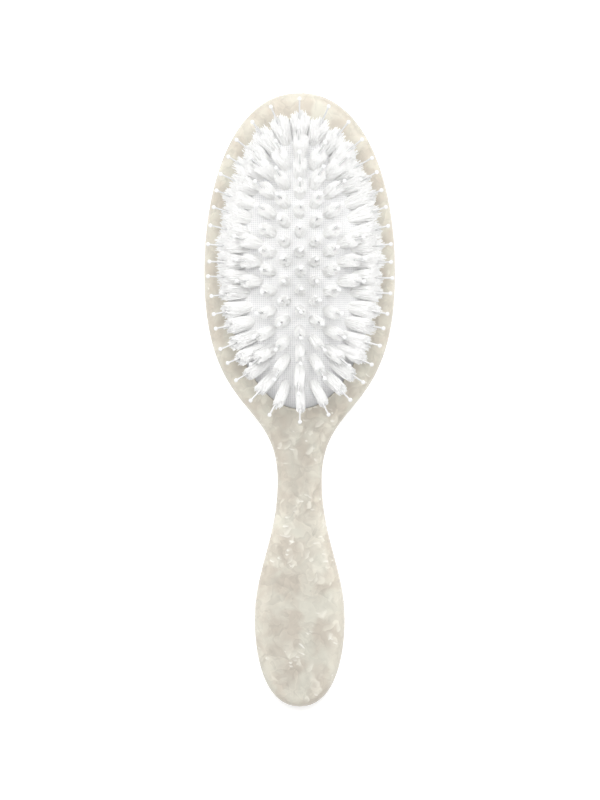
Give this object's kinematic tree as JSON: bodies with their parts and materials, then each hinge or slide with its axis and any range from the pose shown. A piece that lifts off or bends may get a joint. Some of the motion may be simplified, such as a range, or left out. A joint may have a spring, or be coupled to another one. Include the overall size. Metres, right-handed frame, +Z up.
{
  "type": "oval cushion hairbrush",
  "caption": "Oval cushion hairbrush of marbled acetate: flat paddle with a rounded handle, a sprung rubber cushion and white tufts with ball-tipped pins.",
  "frame": {"origin": "under the middle of the brush, on the surface its flat back rests on", "axes": "+Y along the brush from the handle towards the head's rounded top, +X across the head, +Z up out of the bristles"},
  "size_m": [0.07, 0.225, 0.039],
  "materials": {
    "acetate": "polished, marbled like mother of pearl",
    "cushion_rubber": "matt, faced with fine woven cloth",
    "nylon": "satin"
  },
  "bodies": {
    "handle_body": {"brush_body": "acetate", "cushion_membrane": "cushion_rubber"},
    "tuft_field": {"bristle_row_01": "nylon", "bristle_row_02": "nylon", "bristle_row_03": "nylon", "bristle_row_04": "nylon", "bristle_row_05": "nylon", "bristle_row_06": "nylon", "bristle_row_07": "nylon", "bristle_row_08": "nylon", "bristle_row_09": "nylon", "bristle_row_10": "nylon", "bristle_row_11": "nylon", "rim_bristles_01": "nylon", "rim_bristles_02": "nylon", "rim_bristles_03": "nylon", "rim_bristles_04": "nylon", "rim_bristles_05": "nylon", "rim_bristles_06": "nylon", "rim_bristles_07": "nylon", "rim_bristles_08": "nylon"}
  },
  "joints": [
    {"name": "cushion_press", "type": "slide", "parent": "handle_body", "child": "tuft_field", "axis": [0, 0, -1], "range_m": [0, 0.004], "stiffness_N_per_m": 3000, "deforming": ["cushion_membrane"]}
  ]
}
